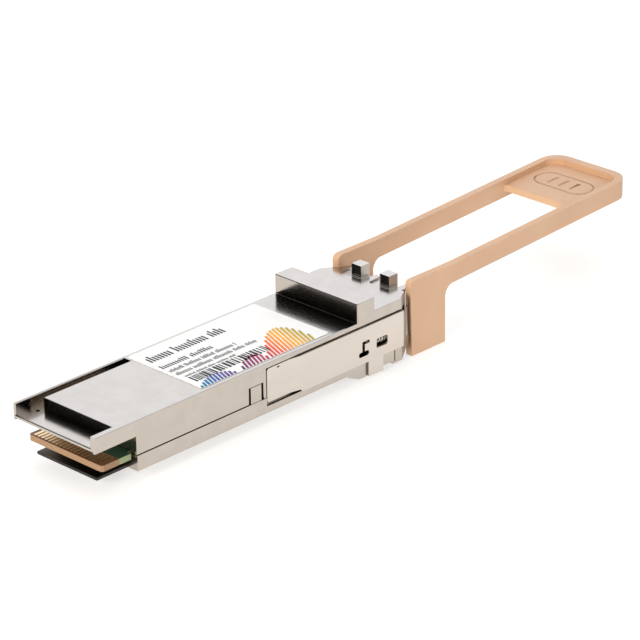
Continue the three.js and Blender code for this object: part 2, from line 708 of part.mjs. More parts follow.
// a slab that follows the handle's rise, between two depths below its top face, with a plan outline
function risingSlab(shape, x0, x1, shallow, deep) {
  const side = outline([
    [x0, topAt(x0) - deep],
    [x1, topAt(x1) - deep],
    [x1, topAt(x1) - shallow],
    [x0, topAt(x0) - shallow],
  ]);
  return solid(profile(side, -HALF_WIDTH, HALF_WIDTH)).intersect(solid(plan(shape, 0, 20)));
}

// the slider's tongue sits in this slot of each leg
function tongueSlot(side) {
  const gap = 0.03;
  const near = TONGUE_OUT - SHEET - gap;
  const far = TONGUE_OUT + gap;
  return beside(side, LEG_FRONT - 1, TONGUE_END + 0.1, near, far, TONGUE_LOW - 0.05, TONGUE_HIGH + 0.05);
}

// each leg's inner front corner clears the chamfered corner of the nose
function legChamfer(side, inner) {
  const gap = 0.2; // to the nose's corner
  const slope = (HALF_WIDTH - REAR_HALF_WIDTH) / (NOSE_END - CHAMFER_START);
  const noseAt = (x) => HALF_WIDTH - (x - CHAMFER_START) * slope;
  const start = LEG_FRONT - 1;
  const end = LEG_FRONT + 1;
  const corner = outline([
    [start, side * (inner - 1)],
    [start, side * (noseAt(start) + gap)],
    [end, side * (noseAt(end) + gap)],
    [end, side * (inner - 1)],
  ]);
  return solid(plan(corner, LEG_BOTTOM - 1, HANDLE_TOP + 1));
}

// a sunk ring on the finger pad with three short sunk bars in it
function padMarks() {
  const ringDepth = 0.22;
  const x0 = 115.3;
  const x1 = 120.7;
  const halfLength = 6;
  const corner = 2.69;
  const line = 0.32;
  const barInset = 1.3;
  const barHalf = 0.35;
  const sink = (shape) => risingSlab(shape, x0 - 1, x1 + 1, PAD_RECESS - 0.2, PAD_RECESS + ringDepth);
  const islandHalf = halfLength - line;
  const outer = sink(roundedRectangle(x0, x1, -halfLength, halfLength, corner));
  const island = sink(roundedRectangle(x0 + line, x1 - line, -islandHalf, islandHalf, corner - line));
  const bars = [-2.4, 0, 2.4].map((y) =>
    sink(roundedRectangle(x0 + barInset, x1 - barInset, y - barHalf, y + barHalf, barHalf - 0.01))
  );
  return [outer.subtract(island), ...bars];
}

function handle() {
  const outer = HANDLE_HALF_WIDTH;
  const inner = outer - HANDLE_WALL;
  const padEnd = HANDLE_END - PAD_RIM;
  const blank = solid(profile(handleSide(), -outer - 1, outer + 1));
  const start = LEG_FRONT - 10;
  const footprint = solid(plan(roundedRectangle(start, HANDLE_END, -outer, outer, PAD_CORNER), -5, 20));
  const window = solid(plan(roundedRectangle(start, PAD_FRONT, -inner, inner, WINDOW_CORNER), -5, 20));
  const padPlan = roundedRectangle(PAD_FRONT - 8, padEnd, -inner, inner, PAD_CORNER - HANDLE_WALL + 0.1);
  const recess = risingSlab(padPlan, PAD_FRONT - 4, padEnd + 2, -2, PAD_RECESS);
  const under = risingSlab(padPlan, PAD_FRONT - 4, padEnd + 2, PAD_RECESS + PAD_PLATE, ARM_HEIGHT + 2);
  const slots = SIDES.map(tongueSlot);
  const chamfers = SIDES.map((side) => legChamfer(side, inner));
  return cut(blank.intersect(footprint), [window, recess, under, ...slots, ...chamfers, ...padMarks()]);
}

// ---- fasteners and label ------------------------------------------------------------------------------------

function screw([x, y]) {
  const slotHalf = 0.14;
  const reach = 0.55;
  const head = upright(x, y, HEAD_RADIUS, HEAD_LOW, HEAD_TOP);
  const shank = upright(x, y, SCREW_RADIUS, HEAD_TOP - 0.1, SCREW_TIP);
  return cut(head.add(shank), [
    box(x - reach, x + reach, y - slotHalf, y + slotHalf, -1, HEAD_LOW + 0.3),
    box(x - slotHalf, x + slotHalf, y - reach, y + reach, -1, HEAD_LOW + 0.3),
  ]);
}

const LABEL = { front: 22.8, end: 50.8, halfWidth: 8.4, corner: 0.5, thickness: 0.08 };

function label() {
  const shape = roundedRectangle(LABEL.front, LABEL.end, -LABEL.halfWidth, LABEL.halfWidth, LABEL.corner);
  return plan(shape, HEIGHT, HEIGHT + LABEL.thickness);
}

// ---- assembly -----------------------------------------------------------------------------------------------

place('top_shell', topShell(), zinc());
place('bottom_shell', bottomShell(), zinc());
place('circuit_board', board(), greenBoard());
place('contacts_top', contactRow(CARD_TOP, CARD_TOP + CONTACT_THICKNESS), gold());
place('contacts_bottom', contactRow(CARD_LOW - CONTACT_THICKNESS, CARD_LOW), gold());
for (const [name, x, y, length, width, height] of CHIPS) {
  place(name, onCard(x, y, length, width, height), chipPlastic());
}
place('thermal_pad', onChip(14, 20.4, 3.2), softPad());
const opticSides = [
  [-1, 'transmitter'],
  [1, 'receiver'],
];
for (const [side, optic] of opticSides) {
  place(`${optic}_can`, opticalCan(side), nickel());
  place(`${optic}_barrel`, barrel(side), nickel());
  place(`${optic}_fibre_stub`, fibreStub(side), ceramic());
  place(`${optic}_flex`, flex(side), amberFilm());
  place(`${optic}_gasket`, gasket(side), darkPlastic());
}
place('fibre_receptacle', receptacle(), zinc());
place('release_slider', slider(), steel());
place('spring_near', spring(-1), springSteel());
place('spring_far', spring(1), springSteel());
place('pull_handle', handle(), beigePlastic());
SCREW_PLACES.forEach((spot, i) => place(`shell_screw_${i + 1}`, screw(spot), steel()));
place('label', label(), paperLabel());

group.position.set(-HANDLE_END / 2, 0, -LEG_BOTTOM);

const module = new THREE.Group();
module.add(group);
export default module;
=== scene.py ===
"""Looks of the optical transceiver module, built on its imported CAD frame.

Lengths are in metres unless a name ends in MM. The frame has +X from the card edge to the pull
handle and +Z up.
"""
import math
import random

import bmesh
import bpy
from mathutils import Matrix, Vector


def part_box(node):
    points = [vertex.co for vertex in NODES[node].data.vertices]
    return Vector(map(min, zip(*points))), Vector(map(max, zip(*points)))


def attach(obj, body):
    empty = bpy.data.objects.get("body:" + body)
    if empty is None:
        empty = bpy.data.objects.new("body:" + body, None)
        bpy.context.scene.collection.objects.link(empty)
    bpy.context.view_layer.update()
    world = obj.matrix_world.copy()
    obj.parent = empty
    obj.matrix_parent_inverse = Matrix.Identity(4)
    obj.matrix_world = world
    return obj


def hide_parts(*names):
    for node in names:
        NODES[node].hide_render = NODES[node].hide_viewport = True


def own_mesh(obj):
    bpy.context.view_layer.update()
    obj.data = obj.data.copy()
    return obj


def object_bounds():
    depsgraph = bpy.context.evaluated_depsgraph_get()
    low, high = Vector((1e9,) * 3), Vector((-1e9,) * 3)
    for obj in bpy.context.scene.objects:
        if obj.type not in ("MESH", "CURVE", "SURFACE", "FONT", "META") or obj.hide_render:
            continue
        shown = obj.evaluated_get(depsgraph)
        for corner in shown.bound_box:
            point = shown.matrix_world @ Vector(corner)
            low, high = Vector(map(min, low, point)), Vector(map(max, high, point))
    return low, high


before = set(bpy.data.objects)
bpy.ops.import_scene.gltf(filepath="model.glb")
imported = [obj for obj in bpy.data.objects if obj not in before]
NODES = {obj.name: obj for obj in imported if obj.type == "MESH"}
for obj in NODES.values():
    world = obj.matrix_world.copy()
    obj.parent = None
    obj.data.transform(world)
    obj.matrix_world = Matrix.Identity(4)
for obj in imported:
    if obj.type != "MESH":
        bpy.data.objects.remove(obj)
CAD_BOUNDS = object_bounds()
MM = 0.001

# ---- places worked out from the frame -----------------------------------------------------------------

BODY_HEIGHT_MM = 8.5
FRONT_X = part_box("top_shell")[0].x  # the front lip of the module


def at(x_mm, y_mm, z_mm):
    """A point given from the front lip, the middle plane and the underside of the body."""
    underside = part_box("label")[0].z - BODY_HEIGHT_MM * MM
    return Vector((FRONT_X + x_mm * MM, y_mm * MM, underside + z_mm * MM))


# ---- material helpers ---------------------------------------------------------------------------------


def new_material(name):
    """A node material with a Principled shader; returns (material, nodes, links, shader)."""
    material = bpy.data.materials.new(name)
    material.use_nodes = True
    nodes = material.node_tree.nodes
    links = material.node_tree.links
    return material, nodes, links, nodes["Principled BSDF"]


def object_coordinates(nodes, links, scale=(1, 1, 1)):
    """Object coordinates in millimetres, stretched by scale."""
    coordinates = nodes.new("ShaderNodeTexCoord")
    mapping = nodes.new("ShaderNodeMapping")
    mapping.inputs["Scale"].default_value = [1000 * s for s in scale]
    links.new(coordinates.outputs["Object"], mapping.inputs["Vector"])
    return mapping.outputs["Vector"]


def noise(nodes, links, vector, scale, detail=3, roughness=0.55):
    """A noise texture's value, with scale in features per millimetre."""
    texture = nodes.new("ShaderNodeTexNoise")
    texture.inputs["Scale"].default_value = scale
    texture.inputs["Detail"].default_value = detail
    texture.inputs["Roughness"].default_value = roughness
    links.new(vector, texture.inputs["Vector"])
    return texture.outputs["Fac"]


def ramp(nodes, links, value, stops):
    """A colour ramp over stops of (position, colour)."""
    node = nodes.new("ShaderNodeValToRGB")
    elements = node.color_ramp.elements
    while len(elements) < len(stops):
        elements.new(0.5)
    for element, (position, colour) in zip(elements, stops):
        element.position = position
        element.color = (*colour, 1)
    links.new(value, node.inputs["Fac"])
    return node.outputs["Color"]


def two_tone(nodes, links, value, dark, light):
    """A soft change between two close colours."""
    return ramp(nodes, links, value, [(0.35, dark), (0.65, light)])


def spread(nodes, links, value, low, high):
    """Maps a value of about 0.3 to 0.7 to low to high."""
    node = nodes.new("ShaderNodeMapRange")
    node.inputs["From Min"].default_value = 0.3
    node.inputs["From Max"].default_value = 0.7
    node.inputs["To Min"].default_value = low
    node.inputs["To Max"].default_value = high
    links.new(value, node.inputs["Value"])
    return node.outputs["Result"]


GRAIN_HEIGHT_MM = 0.02


def bump(nodes, links, shader, height, strength):
    """Roughens the shading with a height texture."""
    node = nodes.new("ShaderNodeBump")
    node.inputs["Strength"].default_value = strength
    node.inputs["Distance"].default_value = GRAIN_HEIGHT_MM * MM
    links.new(height, node.inputs["Height"])
    links.new(node.outputs["Normal"], shader.inputs["Normal"])


def metal(
    name, dark, light, rough_low, rough_high, grain=(1, 1, 1), bump_strength=0.05, metallic=1.0
):
    """A metal whose colour, roughness and surface vary with a cast or rolled grain."""
    material, nodes, links, shader = new_material(name)
    vector = object_coordinates(nodes, links, grain)
    broad = noise(nodes, links, vector, 0.35)
    fine = noise(nodes, links, vector, 6.0, detail=5)
    links.new(two_tone(nodes, links, broad, dark, light), shader.inputs["Base Color"])
    links.new(spread(nodes, links, fine, rough_low, rough_high), shader.inputs["Roughness"])
    shader.inputs["Metallic"].default_value = metallic
    bump(nodes, links, shader, fine, bump_strength)
    return material


def plastic(
    name, dark, light, rough_low, rough_high, grain_scale=8.0, bump_strength=0.15, specular=0.4
):
    """A moulded plastic with a fine texture."""
    material, nodes, links, shader = new_material(name)
    vector = object_coordinates(nodes, links)
    broad = noise(nodes, links, vector, 0.12)
    fine = noise(nodes, links, vector, grain_scale, detail=4)
    links.new(two_tone(nodes, links, broad, dark, light), shader.inputs["Base Color"])
    links.new(spread(nodes, links, fine, rough_low, rough_high), shader.inputs["Roughness"])
    shader.inputs["Specular IOR Level"].default_value = specular
    bump(nodes, links, shader, fine, bump_strength)
    return material


def srgb(r, g, b):
    """An 8-bit colour as linear numbers."""
    return tuple(
        (c / 255 / 12.92) if c <= 10 else ((c / 255 + 0.055) / 1.055) ** 2.4 for c in (r, g, b)
    )


CAST = metal(
    "cast_nickel", (0.515, 0.462, 0.410), (0.545, 0.490, 0.435), 0.15, 0.21, bump_strength=0.02
)
SHEET = metal(
    "rolled_steel", (0.63, 0.575, 0.52), (0.67, 0.61, 0.55), 0.15, 0.23, grain=(0.1, 1, 1)
)
# A dark metal for faces painted dark: painted shade in the front ledge's small hole, and a painted
# reflection of the module's shaded underside on the lip plate.
PAINTED_SHADE_METAL = metal("lip_and_hole_painted_shade", (0.045, 0.04, 0.036), (0.07, 0.062, 0.055), 0.3, 0.42)
# Near-black colour inside the fibre ports, the latch lanes and the arches above them: painted shade of the
# deep openings.
PORT_SHADE_PAINT = plastic("port_painted_shade", srgb(22, 20, 19), srgb(36, 33, 31), 0.55, 0.75, specular=0.15)
# The flanks behind the nose, which face the handle's legs: a rougher surface, with a darker colour that is
# painted shade where they would mirror the bright floor.
SHADED_BEND_METAL = metal("rough_bend_painted_shade", (0.36, 0.315, 0.27), (0.42, 0.37, 0.32), 0.45, 0.6, metallic=0.3)
PORT_METAL = metal(
    "port_metal", (0.60, 0.56, 0.52), (0.65, 0.61, 0.565), 0.3, 0.42, metallic=0.75
)
HANDLE = plastic(
    "beige_plastic", (0.625, 0.40, 0.262), (0.66, 0.43, 0.285), 0.45, 0.58, 5.0, 0.25, 0.3
)
GOLD = metal("gold_plating", srgb(224, 188, 140), srgb(240, 208, 164), 0.25, 0.38)
CHIP = plastic("chip_plastic", srgb(28, 28, 30), srgb(40, 40, 43), 0.5, 0.7)
PAD = plastic("thermal_filler", srgb(128, 138, 152), srgb(146, 154, 166), 0.7, 0.9)
NICKEL = metal("nickel_can", srgb(200, 194, 184), srgb(216, 210, 200), 0.2, 0.35)
CERAMIC = plastic("ferrule_ceramic", srgb(236, 234, 226), srgb(246, 244, 238), 0.2, 0.3)
FILM = plastic("amber_film", srgb(168, 104, 36), srgb(190, 124, 50), 0.3, 0.45)
RUBBER = plastic("gasket_rubber", srgb(34, 34, 35), srgb(48, 48, 50), 0.6, 0.8)
SPRING = metal(
    "spring_wire", srgb(236, 232, 226), srgb(246, 242, 236), 0.3, 0.4, metallic=0.35
)
SCREW = metal("screw_steel", srgb(170, 167, 163), srgb(190, 187, 182), 0.25, 0.4)
LABEL = plastic("label_paper", srgb(236, 237, 240), srgb(241, 242, 245), 0.45, 0.55, 8, 0.05)
INK = plastic("black_ink", srgb(24, 24, 28), srgb(38, 38, 42), 0.5, 0.6, 12, 0.05)


def mixed(nodes, links, factor, a, b):
    """Colour a where factor is 0 and colour b where it is 1."""
    mix = nodes.new("ShaderNodeMix")
    mix.data_type = "RGBA"
    links.new(factor, mix.inputs["Factor"])
    links.new(a, mix.inputs["A"])
    links.new(b, mix.inputs["B"])
    return mix.outputs["Result"]


def compared(nodes, links, value, operation, limit):
    """1 where value is less or greater than limit, and 0 elsewhere."""
    node = nodes.new("ShaderNodeMath")
    node.operation = operation
    node.inputs[1].default_value = limit
    links.new(value, node.inputs[0])
    return node.outputs["Value"]


MASK_GAP_MM = 0.25  # bare laminate between the contacts' ends and the solder mask


def board_material():
    """Solder mask over faint copper tracks, with bare laminate between the contacts.

    Both are paler where the board's edge is cut.
    """
    material, nodes, links, shader = new_material("solder_mask")
    vector = object_coordinates(nodes, links)
    tracks = nodes.new("ShaderNodeTexWave")
    tracks.wave_type = "BANDS"
    tracks.bands_direction = "Y"
    tracks.inputs["Scale"].default_value = 0.4
    tracks.inputs["Distortion"].default_value = 1.2
    tracks.inputs["Detail"].default_value = 1
    links.new(vector, tracks.inputs["Vector"])
    grain = noise(nodes, links, vector, 5, detail=4)
    mask_stops = [(0.45, srgb(24, 62, 50)), (0.6, srgb(36, 80, 60))]
    mask = ramp(nodes, links, tracks.outputs["Fac"], mask_stops)
    cut_edge = two_tone(nodes, links, grain, srgb(134, 146, 108), srgb(156, 166, 126))
    bare_top = two_tone(nodes, links, grain, srgb(96, 62, 38), srgb(116, 78, 48))
    bare_edge = two_tone(nodes, links, grain, srgb(142, 110, 82), srgb(160, 126, 96))
    normal = nodes.new("ShaderNodeSeparateXYZ")
    links.new(nodes.new("ShaderNodeNewGeometry").outputs["Normal"], normal.inputs["Vector"])
    upright = compared(nodes, links, normal.outputs["Z"], "LESS_THAN", 0.5)
    place = nodes.new("ShaderNodeSeparateXYZ")
    links.new(vector, place.inputs["Vector"])
    mask_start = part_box("contacts_top")[1].x / MM + MASK_GAP_MM
    masked = compared(nodes, links, place.outputs["X"], "GREATER_THAN", mask_start)
    bare = mixed(nodes, links, upright, bare_top, bare_edge)
    green = mixed(nodes, links, upright, mask, cut_edge)
    links.new(mixed(nodes, links, masked, bare, green), shader.inputs["Base Color"])
    links.new(spread(nodes, links, grain, 0.4, 0.55), shader.inputs["Roughness"])
    return material


def inks_material(name, stops):
    """Inks that change colour along the module: stops of (x in mm from the front lip, colour)."""
    material, nodes, links, shader = new_material(name)
    vector = object_coordinates(nodes, links)
    place = nodes.new("ShaderNodeSeparateXYZ")
    links.new(vector, place.inputs["Vector"])
    first, last = stops[0][0], stops[-1][0]
    along = nodes.new("ShaderNodeMapRange")
    along.inputs["From Min"].default_value = at(first, 0, 0).x / MM
    along.inputs["From Max"].default_value = at(last, 0, 0).x / MM
    links.new(place.outputs["X"], along.inputs["Value"])
    colours = [((x - first) / (last - first), colour) for x, colour in stops]
    links.new(ramp(nodes, links, along.outputs["Result"], colours), shader.inputs["Base Color"])
    fine = noise(nodes, links, vector, 6)
    links.new(spread(nodes, links, fine, 0.45, 0.6), shader.inputs["Roughness"])
    return material


MATERIALS = {
    "top_shell": CAST,
    "bottom_shell": CAST,
    "fibre_receptacle": CAST,
    "circuit_board": board_material(),
    "contacts_top": GOLD,
    "contacts_bottom": GOLD,
    "thermal_pad": PAD,
    "release_slider": SHEET,
    "spring_near": SPRING,
    "spring_far": SPRING,
    "pull_handle": HANDLE,
    "label": LABEL,
}
for name in (
    "retimer_chip",
    "microcontroller",
    "power_regulator",
    "laser_driver",
    "receiver_amplifier",
    "power_inductor_a",
    "power_inductor_b",
):
    MATERIALS[name] = CHIP
for optic in ("transmitter", "receiver"):
    MATERIALS[f"{optic}_can"] = NICKEL
    MATERIALS[f"{optic}_barrel"] = NICKEL
    MATERIALS[f"{optic}_fibre_stub"] = CERAMIC
    MATERIALS[f"{optic}_flex"] = FILM
    MATERIALS[f"{optic}_gasket"] = RUBBER
for i in range(1, 5):
    MATERIALS[f"shell_screw_{i}"] = SCREW

for name, node in NODES.items():
    node.data.materials.clear()
    node.data.materials.append(MATERIALS[name])

# ---- finished castings and mouldings, made from the frame's solids ------------------------------------


def add_piece(name, bm, material, body, smooth=True):
    """Makes an object from a bmesh, flat-shaded or smooth with its large faces kept flat."""
    mesh = bpy.data.meshes.new(name)
    for face in bm.faces:
        face.smooth = smooth
    bm.to_mesh(mesh)
    bm.free()
    piece = bpy.data.objects.new(name, mesh)
    piece.data.materials.append(material)
    bpy.context.scene.collection.objects.link(piece)
    if smooth:
        weighted = piece.modifiers.new("flat faces", "WEIGHTED_NORMAL")
        weighted.keep_sharp = True
        weighted.weight = 100
    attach(piece, body)
    return piece


CORNER_ANGLE = math.radians(25)  # faces that meet at less than this belong to one curved surface
FLAT_ANGLE = math.radians(1)
WELD_MM = 0.0005


def is_corner(edge):
    """True for an edge between two faces that meet at a real corner."""
    return edge.is_manifold and edge.calc_face_angle() > CORNER_ANGLE


def rounded_copy(
    node, name, material, body, width_mm, segments, wanted, others=(), smooth=False, clamp=True
):
    """A copy of a CAD node with its corners rounded where wanted(edge) says so.

    others are pairs of a material and a test of a face, for the faces that get another material, here one
    with painted shade.
    clamp narrows every rounding to what the shortest chosen edge has room for.
    """
    bm = bmesh.new()
    bm.from_mesh(NODES[node].data)
    bmesh.ops.remove_doubles(bm, verts=bm.verts, dist=WELD_MM * MM)
    bmesh.ops.dissolve_limit(bm, angle_limit=FLAT_ANGLE, verts=bm.verts, edges=bm.edges)
    bmesh.ops.bevel(
        bm,
        geom=[edge for edge in bm.edges if is_corner(edge) and wanted(edge)],
        offset=width_mm * MM,
        segments=segments,
        profile=0.5,
        affect="EDGES",
        clamp_overlap=clamp,
    )
    bm.normal_update()
    for index, (_, test) in enumerate(others, start=1):
        for face in bm.faces:
            if test(face):
                face.material_index = index
    piece = add_piece(name, bm, material, body, smooth)
    for other, _ in others:
        piece.data.materials.append(other)
    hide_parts(node)


def longer_than(length_mm):
    """A test that is true for edges longer than this."""
    return lambda edge: edge.calc_length() > length_mm * MM


SLACK_MM = 0.02  # so that a face on the limit counts as inside
ARCH_HALF_MM = 1.05  # half width of a latch arch
ARCH_WALL_MM = 0.22
ARCH_TOP_MM = 11.1
PORT_Y_MM = 3.125
PORT_HALF_MM = 2.35
PORT_FLOOR_Z = at(0, 0, 1.95).z
PORT_ROOF_Z = at(0, 0, 6.65).z
ARCH_ROOF_Z = at(0, 0, ARCH_TOP_MM - ARCH_WALL_MM).z
PORT_START_X = at(60.4, 0, 0).x


# The faces this finds are painted near black: painted shade inside the openings.
def inside_port(face):
    """True inside a fibre port, and inside the latch lane and the arch above it."""
    middle = face.calc_center_median()
    beside = abs(abs(middle.y) / MM - PORT_Y_MM)
    lane_half_mm = ARCH_HALF_MM - ARCH_WALL_MM
    slack = SLACK_MM * MM
    port_heights = PORT_FLOOR_Z - slack < middle.z < PORT_ROOF_Z + slack
    lane_heights = PORT_ROOF_Z < middle.z < ARCH_ROOF_Z + slack
    in_port = beside < PORT_HALF_MM + SLACK_MM and port_heights
    in_lane = beside < lane_half_mm + SLACK_MM and lane_heights
    level_top = face.normal.z > 0.9 and middle.z > PORT_ROOF_Z + slack
    return middle.x > PORT_START_X - slack and (in_port or in_lane) and not level_top


OUTER_Y_MM = 9.0  # edges beyond this, or above the body's top face, are the ones seen from outside
BODY_TOP_Z = at(0, 0, BODY_HEIGHT_MM - 0.05).z
SHORT_EDGE_MM = 1.2
LIP_DEPTH_MM = 0.1
LEDGE_HOLE = at(3.3, 7.3, 6.5)
LEDGE_HOLE_RADIUS_MM = 0.45


def edge_middle(edge):
    """The point halfway along an edge."""
    return (edge.verts[0].co + edge.verts[1].co) / 2


def outer_shell_edge(edge):
    """Long outside edges of the top shell; short ones at its small openings stay sharp."""
    middle = edge_middle(edge)
    on_side = abs(middle.y) > OUTER_Y_MM * MM
    on_lip = middle.x < FRONT_X + LIP_DEPTH_MM * MM
    outside = middle.z > BODY_TOP_Z or on_side or on_lip
    return edge.calc_length() > SHORT_EDGE_MM * MM and outside


# The faces this finds get the dark metal: painted shade in the hole.
def in_ledge_hole(face):
    """True on the wall and floor of the small hole in the front ledge."""
    middle = face.calc_center_median()
    near_axis = (middle.xy - LEDGE_HOLE.xy).length < LEDGE_HOLE_RADIUS_MM * MM
    return near_axis and middle.z < LEDGE_HOLE.z


BODY_START_X = at(8.3, 0, 0).x
LIP_PLATE_TOP_Z = at(0, 0, 0.6).z
NOSE_BEND_X = at(66.5, 0, 0).x


# The faces this finds get the dark metal: a painted reflection of the module's shaded underside on the
# plate.
def on_lip_plate(face):
    """True on the thin plate that reaches out under the card edge."""
    middle = face.calc_center_median()
    return middle.x < BODY_START_X and middle.z < LIP_PLATE_TOP_Z


# The faces this finds get a darker, rougher metal: its darker colour is painted shade.
def slants_in(face):
    """True on the slanting flanks behind the nose, which face the handle's legs."""
    slants = 0.3 < face.normal.x < 0.75 and abs(face.normal.y) > 0.6
    return face.calc_center_median().x > NOSE_BEND_X and slants


MARKS_START_X = at(113.5, 0, 0).x
MARKS_END_X = at(121.5, 0, 0).x
MARKS_HALF_MM = 6.6
TONGUE_SLOT_END_X = at(76.9, 0, 0).x
TONGUE_SLOT_MM = (7.6, 8.4)  # from the middle plane


def outer_handle_edge(edge):
    """Edges of the handle's limbs and rim, but not of the pad's sunk marks or the slots for the slider."""
    middle = edge_middle(edge)
    beside_mm = abs(middle.y) / MM
    in_marks = MARKS_START_X < middle.x < MARKS_END_X and beside_mm < MARKS_HALF_MM
    in_slot = middle.x < TONGUE_SLOT_END_X and TONGUE_SLOT_MM[0] < beside_mm < TONGUE_SLOT_MM[1]
    return not in_marks and not in_slot


rounded_copy(
    "top_shell",
    "top_casting",
    CAST,
    "housing",
    width_mm=0.15,
    segments=2,
    wanted=outer_shell_edge,
    others=[(SHADED_BEND_METAL, slants_in), (PAINTED_SHADE_METAL, in_ledge_hole)],
    clamp=False,
)
rounded_copy(
    "bottom_shell",
    "bottom_casting",
    CAST,
    "housing",
    width_mm=0.09,
    segments=3,
    wanted=longer_than(0.4),
    others=[(PAINTED_SHADE_METAL, on_lip_plate), (SHADED_BEND_METAL, slants_in)],
)
rounded_copy(
    "fibre_receptacle",
    "port_block",
    PORT_METAL,
    "housing",
    width_mm=0.08,
    segments=2,
    wanted=longer_than(0.5),
    others=[(PORT_SHADE_PAINT, inside_port)],
)
rounded_copy(
    "release_slider",
    "slider_sheet",
    SHEET,
    "slider",
    width_mm=0.06,
    segments=2,
    wanted=longer_than(0.3),
    others=[(SHADED_BEND_METAL, slants_in)],
)
rounded_copy(
    "pull_handle",
    "handle_moulding",
    HANDLE,
    "slider",
    width_mm=0.38,
    segments=4,
    wanted=outer_handle_edge,
    smooth=True,
)

# ---- return springs -----------------------------------------------------------------------------------

SPRING_TURNS = 10
WIRE_RADIUS_MM = 0.16
STEPS_PER_TURN = 24
WIRE_SIDES = 10


def add_spring(node, name):
    """A round-wire coil in the space of its CAD solid, which the slider squashes towards its rear end."""
    low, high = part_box(node)
    wire = WIRE_RADIUS_MM * MM
    middle = (low + high) / 2
    radius = (high.z - low.z) / 2 - wire
    hand = 1 if middle.y > 0 else -1
    start, end = low.x + wire, high.x - wire
    bm = bmesh.new()
    rings = []
    count = SPRING_TURNS * STEPS_PER_TURN
    for i in range(count + 1):
        t = i / count
        turn = hand * t * SPRING_TURNS * 2 * math.pi
        outwards = Vector((0, math.cos(turn), math.sin(turn)))
        centre = Vector((start + t * (end - start), middle.y, middle.z)) + radius * outwards
        ring = []
        for k in range(WIRE_SIDES):
            angle = k / WIRE_SIDES * 2 * math.pi
            around = math.cos(angle) * outwards + Vector((math.sin(angle), 0, 0))
            ring.append(bm.verts.new(centre + wire * around))
        rings.append(ring)
    for one, two in zip(rings, rings[1:]):
        for k in range(WIRE_SIDES):
            m = (k + 1) % WIRE_SIDES
            bm.faces.new((one[k], one[m], two[m], two[k]))
    bm.faces.new(rings[0][::-1])
    bm.faces.new(rings[-1])
    bmesh.ops.recalc_face_normals(bm, faces=bm.faces)
    piece = add_piece(name, bm, SPRING, "housing")
    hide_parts(node)
    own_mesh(piece)


add_spring("spring_near", "coil_near")
add_spring("spring_far", "coil_far")

# ---- printing on the label ----------------------------------------------------------------------------

INK_THICKNESS_MM = 0.012
INK_LIFT_MM = 0.001
LABEL_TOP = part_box("label")[1].z


def add_print(name, outlines, material):
    """A thin raised print from plan outlines, each an anticlockwise list of (x, y) in mm."""
    bm = bmesh.new()
    for points in outlines:
        rings = []
        for z in (LABEL_TOP + INK_LIFT_MM * MM, LABEL_TOP + INK_THICKNESS_MM * MM):
            places = [at(x, y, 0) for x, y in points]
            rings.append([bm.verts.new((p.x, p.y, z)) for p in places])
        low, high = rings
        bm.faces.new(high)
        bm.faces.new(low[::-1])
        for k in range(len(points)):
            m = (k + 1) % len(points)
            bm.faces.new((low[k], low[m], high[m], high[k]))
    bmesh.ops.recalc_face_normals(bm, faces=bm.faces)
    add_piece(name, bm, material, "housing")


def bar(x0, x1, y0, y1):
    """The outline of an upright bar."""
    return [(x0, y0), (x1, y0), (x1, y1), (x0, y1)]


TICK_PITCH = 1.75  # in stroke widths
SHORT_TICK = 0.72  # of the height of a tall one
TALL_SHARE = 0.3


def tick_row(x0, x1, y0, y1, stroke, seed):
    """A row of plain upright ticks of two heights, in groups, where a printed line would be."""
    random.seed(seed)
    ticks = []
    x = x0
    pitch = TICK_PITCH * stroke
    while x < x1 - pitch:
        for _ in range(random.randint(7, 13)):
            if x > x1 - pitch:
                break
            top = y1 if random.random() < TALL_SHARE else y0 + SHORT_TICK * (y1 - y0)
            ticks.append(bar(x, x + stroke, y0, top))
            x += pitch
        x += pitch
    return ticks


BAR_WIDTHS_MM = (0.14, 0.26, 0.4, 0.55)
BAR_GAPS_MM = (0.14, 0.16, 0.26, 0.4)


def code_bars(x0, x1, y0, y1, seed):
    """Upright bars of uneven width, as on any stock label."""
    random.seed(seed)
    bars = []
    x = x0
    while x < x1:
        width = random.choice(BAR_WIDTHS_MM)
        bars.append(bar(x, x + width, y0, y1))
        x += width + random.choice(BAR_GAPS_MM)
    return bars


STRIPE_FOOT_MM = -8.35  # close to the label's near edge
FAN_FULLNESS = 0.6  # less makes the row's outline squarer


def stripe_fan(x0, x1, height, count, lean, fill):
    """Straight slanting stripes along the label's near edge, longest in the middle of the row."""
    stripes = []
    pitch = (x1 - x0) / count
    foot = STRIPE_FOOT_MM
    for i in range(count):
        left = x0 + i * pitch
        right = left + fill * pitch
        reach = height * math.sin(math.pi * (i + 0.5) / count) ** FAN_FULLNESS
        shift = lean * reach
        top = foot + reach
        stripes.append([(left, foot), (right, foot), (right + shift, top), (left + shift, top)])
    return stripes


PRINT_ROWS = [  # start and end, low and high, stroke width, seed; from the lip and the middle plane
    ("print_title", 24.0, 40.4, 3.9, 6.2, 0.36, 3),
    ("print_bold_line", 23.6, 35.6, 0.9, 2.2, 0.30, 5),
    ("print_line_a", 23.6, 38.0, -0.85, 0.15, 0.19, 7),
    ("print_line_b", 23.6, 41.0, -2.4, -1.4, 0.19, 9),
    ("print_small_line", 24.0, 35.0, -3.7, -3.05, 0.13, 11),
]
for name, *row in PRINT_ROWS:
    add_print(name, tick_row(*row), INK)
add_print("print_bars", code_bars(24.0, 40.1, -6.1, -4.0, 13), INK)
COOL_INKS = inks_material(
    "cool_inks",
    [
        (22.9, srgb(0, 140, 176)),
        (26.5, srgb(20, 76, 150)),
        (31, srgb(110, 50, 140)),
    ],
)
WARM_INKS = inks_material(
    "warm_inks",
    [
        (32, srgb(88, 20, 84)),
        (36.5, srgb(150, 20, 74)),
        (40.5, srgb(226, 74, 12)),
        (44.5, srgb(240, 170, 6)),
        (50.5, srgb(46, 142, 34)),
    ],
)
